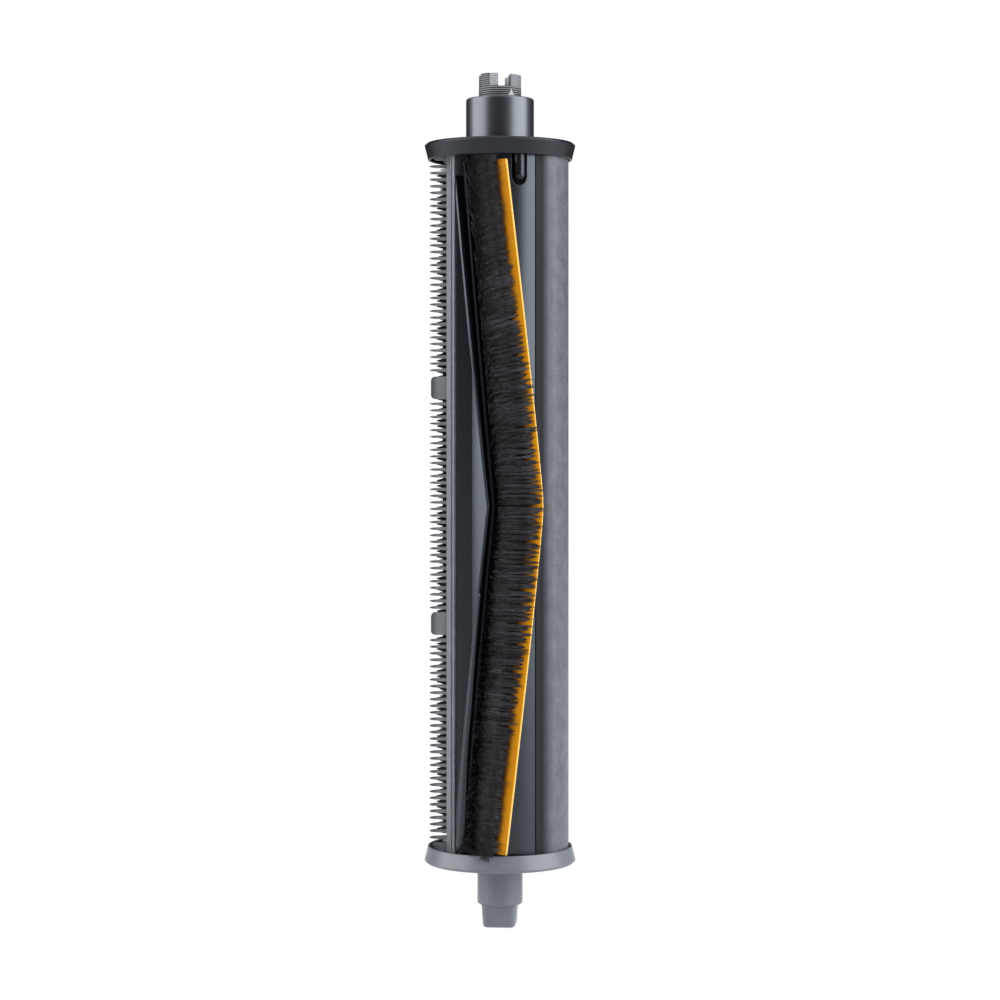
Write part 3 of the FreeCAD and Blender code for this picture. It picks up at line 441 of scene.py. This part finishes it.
for side, half_turn in (("front", 0.0), ("rear", HALF_TURN)):
    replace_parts(wiper("wiper_blade_" + side, half_turn), "wiper_" + side)

# Rolled lip on the channel's rim: on the lower leg it widens towards the end, up to the bristles
LIP_SECTION = [(0.0, 13.7), (0.0, 14.5), (0.12, 14.74), (0.5, 14.8), (0.82, 14.66), (1.0, 14.3),
               (1.0, 13.7)]
LIP_STATIONS = 64

# Where the lip starts and flares, as shares of a leg from the apex, and its sizes in degrees
LIP_START = 0.25
LIP_FLARE_START = 0.65
LIP_LEFT = -11.9
LIP_DRIFT = 4.5
LIP_WIDTH = 2.2
LIP_SWELL = 2.6
LIP_FLARE = 5.5


def channel_lip(name, half_turn):
    points = []
    for station in range(LIP_STATIONS + 1):
        height = lerp(STRIP_LOW, APEX - LIP_START * HALF, station / LIP_STATIONS)
        share = abs(strip_share(height))
        left = LIP_LEFT - LIP_DRIFT * share
        swell = LIP_SWELL * ease(share, LIP_START, LIP_FLARE_START)
        right = left + LIP_WIDTH + swell + LIP_FLARE * ease(share, LIP_FLARE_START, 1.0)
        for across, radius in LIP_SECTION:
            points.append(at(radius, lerp(left, right, across) + strip_turn(height) + half_turn, height))
    made = mesh_object(name, points, tube_faces(len(LIP_SECTION), LIP_STATIONS))
    made.data.materials.append(holder_finish.material)
    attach(made, "roller")


channel_lip("channel_lip_front", 0.0)
channel_lip("channel_lip_rear", HALF_TURN)

# Bristles: tapered strands rooted on the backing and swept over towards the wiper
STRANDS = 9000
STRAND_RADIUS = 0.085
STRAND_TAPER = 0.5
RINGS = 4
SIDES = 3
STRAND_INSET = 0.2
ROOT_RADIUS = 11.95
ROOT_LEFT = -5.0
ROOT_RIGHT = 17.6

# Stretches over which the strip changes, as shares of a leg from the apex
DRAW_LEG = (0.28, 0.62)
DRAW_END = (0.55, 0.85)
WIDEN_LOWER_LEG = (0.15, 0.45)
WIDEN_END = (0.7, 0.98)
FRAY_SPAN = (0.55, 0.95)
LEAN_SPAN = (-0.15, 0.35)
DARK_SPAN = (0.5, 0.95)

# Tips at the apex, and how far they draw back along the legs and at the ends
TIP_LOW = 14.0
TIP_HIGH = 17.5
TIP_LEFT = -4.0
TIP_RIGHT = 33.6
TIP_LIMIT = 35.0
LEG_DROP = 0.75
LEG_BACK = 6.5
LOWER_LEG_LEFT = 5.0
END_LEFT = 4.5
END_BACK = 2.8

# Half of the strands lie over the rest, from roots on the left to tips near the wiper
OVER_SHARE = 0.5
OVER_ROOTS = 0.4
OVER_SHORT = 0.2
OVER_LIFT = 0.12
STRAY = 2.0

# Loose strands, as a spread at the apex and what fraying adds to it towards the ends
LOOSE_OUT = 0.06
FRAY_OUT = 0.16
LOOSE_TURN = 0.5
FRAY_TURN = 1.6
LOOSE_RISE = 0.05
FRAY_RISE = 0.6

# Tufts, which gather their strands less where the strip frays
TUFT_MM = 0.55
TUFT_KINDS = 257
TUFT_OUT = 0.12
TUFT_OVER = 0.6
TUFT_OVER_RATE = 0.9
TUFT_RISE = 0.25
GATHER = 0.8
FRAY_GATHER = 0.4
LEAN_UP = 2.4
LEAN_DOWN = 0.3

# Shades: how much of a strand's own is in its tuft's, and how much darker the ends are
OWN_SHADE = 0.4
END_DARK = 0.35

# The lowest strands hang over the cup, the more so between these angles
HANG_FROM = 4.0
HANG_DEPTH = 2.4
HANG_REACH = 17.8
HANG_LEAST = 0.6
HANG_MORE = (4.0, 19.0)
HANG_STOP = (22.0, 27.0)

bristle_finish = Finish("nylon_bristle")
strand_value = bristle_finish.node("ShaderNodeAttribute", attribute_name="strand").outputs["Fac"]
bristle_grain = bristle_finish.noise(0.2, 2.0, 0.5, (1.0, 1.0, 2.0))
bristle_mixed = bristle_finish.math("ADD", bristle_finish.math("MULTIPLY", strand_value, 0.85),
                                    bristle_finish.math("MULTIPLY", bristle_grain, 0.15))
bristle_tone = bristle_finish.ramp(bristle_mixed, [(0.0, colour(12, 12, 15)), (0.55, colour(36, 36, 40)),
                                                   (1.0, colour(86, 86, 92))])
bristle_finish.link(bristle_tone, bristle_finish.shader.inputs["Base Color"])
bristle_gloss = bristle_finish.spread(strand_value, 0.34, 0.52)
bristle_finish.link(bristle_gloss, bristle_finish.shader.inputs["Roughness"])
bristle_finish.bump(bristle_grain, 0.004)


def tip_place(place, reach):
    """Where a strand that reaches across the strip ends: its distance from the axis and its angle."""
    share = abs(place)
    drop = ease(share, *DRAW_LEG)
    left = TIP_LEFT - LOWER_LEG_LEFT * ease(-place, *WIDEN_LOWER_LEG) - END_LEFT * ease(share, *WIDEN_END)
    right = TIP_RIGHT - LEG_BACK * drop - END_BACK * ease(share, *DRAW_END)
    return lerp(TIP_LOW, TIP_HIGH - LEG_DROP * drop, reach ** 0.5), lerp(left, right, reach ** 0.7)


def strand_line(dice, tuft, middle, height):
    """The points of one strand from its root to its tip, drawn in towards the middle of its tuft."""
    tuft_out, tuft_over, tuft_rise = tuft
    place = strip_share(height)
    share = abs(place)
    across = dice.random()
    reach = across
    if dice.random() < OVER_SHARE:
        across *= OVER_ROOTS
        reach = 1.0 - OVER_SHORT * dice.random() ** 2
    turn = strip_turn(height)
    fray = ease(share, *FRAY_SPAN)
    root_angle = lerp(ROOT_LEFT, ROOT_RIGHT, across)
    radius, angle = tip_place(place, reach)
    over = (tuft_over + STRAY * dice.random() ** 4) * reach ** 3
    radius += tuft_out + dice.gauss(0.0, LOOSE_OUT + FRAY_OUT * fray) + OVER_LIFT * over
    angle = min(angle + over + dice.gauss(0.0, LOOSE_TURN + FRAY_TURN * fray), TIP_LIMIT)
    lean = LEAN_UP * ease(place, *LEAN_SPAN) - LEAN_DOWN
    rise = lean + tuft_rise + dice.gauss(0.0, LOOSE_RISE + FRAY_RISE * fray)
    rise += (middle - height) * (GATHER - FRAY_GATHER * fray) * dice.random()
    low_end = max(0.0, 1.0 - (height - STRIP_LOW) / HANG_FROM)
    hang_share = lerp(HANG_LEAST, 1.0, ease(angle, *HANG_MORE)) * (1.0 - ease(angle, *HANG_STOP))
    hang = HANG_DEPTH * low_end ** 0.7 * hang_share
    radius = lerp(radius, HANG_REACH, low_end ** 0.5 * dice.random() ** 0.2)
    line = []
    for ring in range(RINGS + 1):
        along = ring / RINGS
        line.append(at(lerp(ROOT_RADIUS, radius, along ** 0.9),
                       turn + lerp(root_angle, angle, along ** 1.25),
                       height + rise * along ** 1.3 * (1.0 - low_end) - hang * along ** 3))
    return line


def tuft_kinds(dice):
    """Tufts that each stand a little differently: how far out, over and up they lean, and their shade."""
    kinds = []
    for _ in range(TUFT_KINDS):
        over = dice.gauss(0.0, TUFT_OVER) + dice.expovariate(TUFT_OVER_RATE)
        lean = (dice.gauss(0.0, TUFT_OUT), over, dice.gauss(0.0, TUFT_RISE))
        kinds.append((lean, dice.random()))
    return kinds


def strands(name, seed, low, high, half_turn):
    dice = random.Random(seed)
    tufts = tuft_kinds(dice)
    points = []
    values = []
    faces = []
    for _ in range(STRANDS):
        height = dice.uniform(low, high)
        number = int(height / TUFT_MM)
        tuft, tuft_shade = tufts[number % TUFT_KINDS]
        line = strand_line(dice, tuft, (number + 0.5) * TUFT_MM, height)
        end_shade = 1.0 - END_DARK * ease(abs(strip_share(height)), *DARK_SPAN)
        shade = lerp(tuft_shade, dice.random(), OWN_SHADE) * end_shade
        start = len(points)
        run = (line[-1] - line[0]).normalized()
        first = run.orthogonal().normalized()
        second = run.cross(first)
        for ring, centre in enumerate(line[:-1]):
            width = STRAND_RADIUS * MM * (1.0 - STRAND_TAPER * ring / RINGS)
            for side in range(SIDES):
                spin = 2.0 * math.pi * side / SIDES
                swing = first * (width * math.cos(spin))
                points.append(centre + swing + second * (width * math.sin(spin)))
        points.append(line[-1])
        values.extend([shade] * (len(points) - start))
        for ring in range(RINGS - 1):
            for side in range(SIDES):
                after = (side + 1) % SIDES
                base = start + ring * SIDES
                faces.append((base + side, base + after, base + SIDES + after, base + SIDES + side))
        top = start + (RINGS - 1) * SIDES
        for side in range(SIDES):
            faces.append((top + side, top + (side + 1) % SIDES, start + RINGS * SIDES))
    if half_turn:
        points = [Vector((-point.x, -point.y, point.z)) for point in points]
    made = mesh_object(name, points, faces)
    point_values(made, "strand", values)
    made.data.materials.append(bristle_finish.material)
    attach(made, "roller")


# The dense heart of the tufts, as distances from the axis and angles
CORE = [(ROOT_RADIUS, -3.0), (ROOT_RADIUS, 7.5), (ROOT_RADIUS, 17.8), (13.6, 20.2), (14.9, 23.2),
        (14.6, 15.0), (13.4, 5.5)]
CORE_STATIONS = 48
CORE_INSET = 0.3


def bristle_core(name, half_turn):
    points = []
    for station in range(CORE_STATIONS + 1):
        height = lerp(STRIP_LOW + CORE_INSET, STRIP_HIGH - CORE_INSET, station / CORE_STATIONS)
        for radius, angle in CORE:
            points.append(at(radius, angle + strip_turn(height) + half_turn, height))
    made = mesh_object(name, points, tube_faces(len(CORE), CORE_STATIONS), smooth=False)
    point_values(made, "strand", [0.0] * len(points))
    made.data.materials.append(bristle_finish.material)
    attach(made, "roller")
    return made


for side, half_turn, seed in (("front", 0.0, 11), ("rear", HALF_TURN, 23)):
    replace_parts(bristle_core("bristle_core_" + side, half_turn), "bristles_" + side)
    strands("bristle_tufts_low_" + side, seed, STRIP_LOW + STRAND_INSET, APEX, half_turn)
    strands("bristle_tufts_high_" + side, seed + 1, APEX, STRIP_HIGH - STRAND_INSET, half_turn)

# Outer edge of the cutter blade: fuller teeth with rounded gullets between them, each tooth as heights
# from its middle and distances from the axis
BLADE_ANGLE = -106.0
BLADE_FIRST = 6.875
BLADE_PITCH = 1.25
BLADE_TEETH = 121
EDGE_CORNERS = 4
EDGE_HALF = 0.28
EDGE_INNER = 12.9
EDGE_TOOTH = [(-0.625, 13.6), (-0.5, 13.65), (-0.42, 13.8), (-0.33, 14.2), (-0.1, 15.05), (0.1, 15.05),
              (0.33, 14.2), (0.42, 13.8), (0.5, 13.65)]

edge_turn = math.radians(BLADE_ANGLE)
edge_side = Vector((math.cos(edge_turn), math.sin(edge_turn), 0.0)) * (EDGE_HALF * MM)
edge_points = []
for tooth in range(BLADE_TEETH):
    for rise, radius in EDGE_TOOTH:
        height = BLADE_FIRST + BLADE_PITCH * tooth + rise
        inner = at(EDGE_INNER, BLADE_ANGLE, height)
        outer = at(radius, BLADE_ANGLE, height)
        edge_points.extend([inner - edge_side, outer - edge_side, outer + edge_side, inner + edge_side])
edge_faces = tube_faces(EDGE_CORNERS, len(edge_points) // EDGE_CORNERS - 1)
edge = mesh_object("blade_edge", edge_points, edge_faces, smooth=False)
edge.data.materials.append(blade_finish.material)
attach(edge, "cutter")

# Raised triangle on the crown, which shows how far it is turned
MARK_INNER = 4.7
MARK_OUTER = 4.98
MARK_LOW = 174.35
MARK_WAIST = 175.15
MARK_HIGH = 175.95
MARK_OUTLINE = [(20.8, MARK_LOW), (31.0, MARK_LOW), (42.2, MARK_LOW), (34.5, MARK_WAIST),
                (31.0, MARK_HIGH), (27.5, MARK_WAIST)]
MARK_SIDES = len(MARK_OUTLINE)
mark_finish = moulded("pale_mark", colour(158, 160, 163), colour(180, 182, 185), 0.45, 0.3, 0.003)
mark_points = []
for radius in (MARK_INNER, MARK_OUTER):
    for angle, height in MARK_OUTLINE:
        mark_points.append(at(radius, angle, height))
mark_faces = [tuple(range(MARK_SIDES))[::-1], tuple(range(MARK_SIDES, 2 * MARK_SIDES))]
for side in range(MARK_SIDES):
    after = (side + 1) % MARK_SIDES
    mark_faces.append((side, after, MARK_SIDES + after, MARK_SIDES + side))
mark = mesh_object("crown_mark", mark_points, mark_faces, smooth=False)
mark.data.materials.append(mark_finish.material)
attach(mark, "crown")

# Camera: level with the upper middle of the roller, and framed a little lower
CAMERA_BACK = 0.588
CAMERA_HEIGHT = 0.0982
camera_data = bpy.data.cameras.new("camera")
camera_data.sensor_width = 36.0
camera_data.lens = 92.7
camera_data.shift_y = -0.0688
camera = bpy.data.objects.new("camera", camera_data)
camera.location = (0.0, -CAMERA_BACK, CAMERA_HEIGHT)
camera.rotation_euler = (math.radians(90.0), 0.0, 0.0)
scene.collection.objects.link(camera)
scene.camera = camera

# Light: a tall softbox on each side, in a dark studio that the camera sees as white
SOFTBOX_BACK = 1.1
SOFTBOX_HEIGHT = 0.6
SOFTBOX_SIZE = 1.35
SOFTBOX_AIM = Vector((0.0, 0.0, 0.09))
for name, angle, power in (("softbox_left", -78.0, 25.0), ("softbox_right", 71.0, 30.0)):
    lamp = bpy.data.lights.new(name, "AREA")
    lamp.shape = "RECTANGLE"
    lamp.size = SOFTBOX_SIZE
    lamp.size_y = SOFTBOX_SIZE
    lamp.energy = power
    lamp.color = (0.95, 0.975, 1.0)
    box = bpy.data.objects.new(name, lamp)
    turn = math.radians(angle)
    box.location = (SOFTBOX_BACK * math.sin(turn), -SOFTBOX_BACK * math.cos(turn), SOFTBOX_HEIGHT)
    aim = SOFTBOX_AIM - box.location
    box.rotation_euler = aim.to_track_quat("-Z", "Y").to_euler()
    scene.collection.objects.link(box)


def seen_white(tree, plain):
    """Gives camera, mirror and glass rays a white surface, and the rest the plain shader."""
    path = tree.nodes.new("ShaderNodeLightPath")
    first = tree.nodes.new("ShaderNodeMath")
    first.operation = "MAXIMUM"
    tree.links.new(path.outputs["Is Camera Ray"], first.inputs[0])
    tree.links.new(path.outputs["Is Glossy Ray"], first.inputs[1])
    second = tree.nodes.new("ShaderNodeMath")
    second.operation = "MAXIMUM"
    tree.links.new(first.outputs[0], second.inputs[0])
    tree.links.new(path.outputs["Is Transmission Ray"], second.inputs[1])
    mix = tree.nodes.new("ShaderNodeMixShader")
    tree.links.new(second.outputs[0], mix.inputs["Fac"])
    tree.links.new(plain, mix.inputs[1])
    return mix


world = bpy.data.worlds.new("studio")
world.use_nodes = True
scene.world = world
plain_sky = world.node_tree.nodes["Background"]
plain_sky.inputs["Color"].default_value = (0.9, 0.95, 1.0, 1.0)
plain_sky.inputs["Strength"].default_value = 0.25
white_sky = world.node_tree.nodes.new("ShaderNodeBackground")
white_sky.inputs["Color"].default_value = (1.0, 1.0, 1.0, 1.0)
sky_mix = seen_white(world.node_tree, plain_sky.outputs[0])
world.node_tree.links.new(white_sky.outputs[0], sky_mix.inputs[2])
world.node_tree.links.new(sky_mix.outputs[0], world.node_tree.nodes["World Output"].inputs["Surface"])

# Floor, well below the part and seen as white
FLOOR = -0.08
FLOOR_HALF = 4.0
floor_corners = [(-FLOOR_HALF, -FLOOR_HALF, FLOOR), (FLOOR_HALF, -FLOOR_HALF, FLOOR),
                 (FLOOR_HALF, FLOOR_HALF, FLOOR), (-FLOOR_HALF, FLOOR_HALF, FLOOR)]
floor = mesh_object("floor", floor_corners, [(0, 1, 2, 3)])
floor_material = bpy.data.materials.new("pale_floor")
floor_material.use_nodes = True
floor_tree = floor_material.node_tree
floor_shader = floor_tree.nodes["Principled BSDF"]
floor_shader.inputs["Base Color"].default_value = (0.8, 0.8, 0.8, 1.0)
floor_shader.inputs["Roughness"].default_value = 0.9
glow = floor_tree.nodes.new("ShaderNodeEmission")
glow.inputs["Strength"].default_value = 1.0
floor_mix = seen_white(floor_tree, floor_shader.outputs[0])
floor_tree.links.new(glow.outputs[0], floor_mix.inputs[2])
floor_tree.links.new(floor_mix.outputs[0], floor_tree.nodes["Material Output"].inputs["Surface"])
floor.data.materials.append(floor_material)

# Dark studio walls, which keep the mirror-like surfaces dark between the softboxes
WALL_BACK = 2.0
WALL_TOP = 2.2
WALL_SIDES = 24
wall_points = []
for height in (FLOOR, WALL_TOP):
    for side in range(WALL_SIDES):
        turn = 2.0 * math.pi * side / WALL_SIDES
        wall_points.append((WALL_BACK * math.sin(turn), WALL_BACK * math.cos(turn), height))
wall_faces = []
for side in range(WALL_SIDES):
    after = (side + 1) % WALL_SIDES
    wall_faces.append((side, after, WALL_SIDES + after, WALL_SIDES + side))
walls = mesh_object("studio_walls", wall_points, wall_faces)
wall_material = bpy.data.materials.new("dark_wall")
wall_material.use_nodes = True
wall_shader = wall_material.node_tree.nodes["Principled BSDF"]
wall_shader.inputs["Base Color"].default_value = (0.03, 0.03, 0.03, 1.0)
wall_shader.inputs["Roughness"].default_value = 0.9
walls.data.materials.append(wall_material)
walls.visible_camera = False

scene.view_settings.view_transform = "Standard"

bpy.context.view_layer.update()
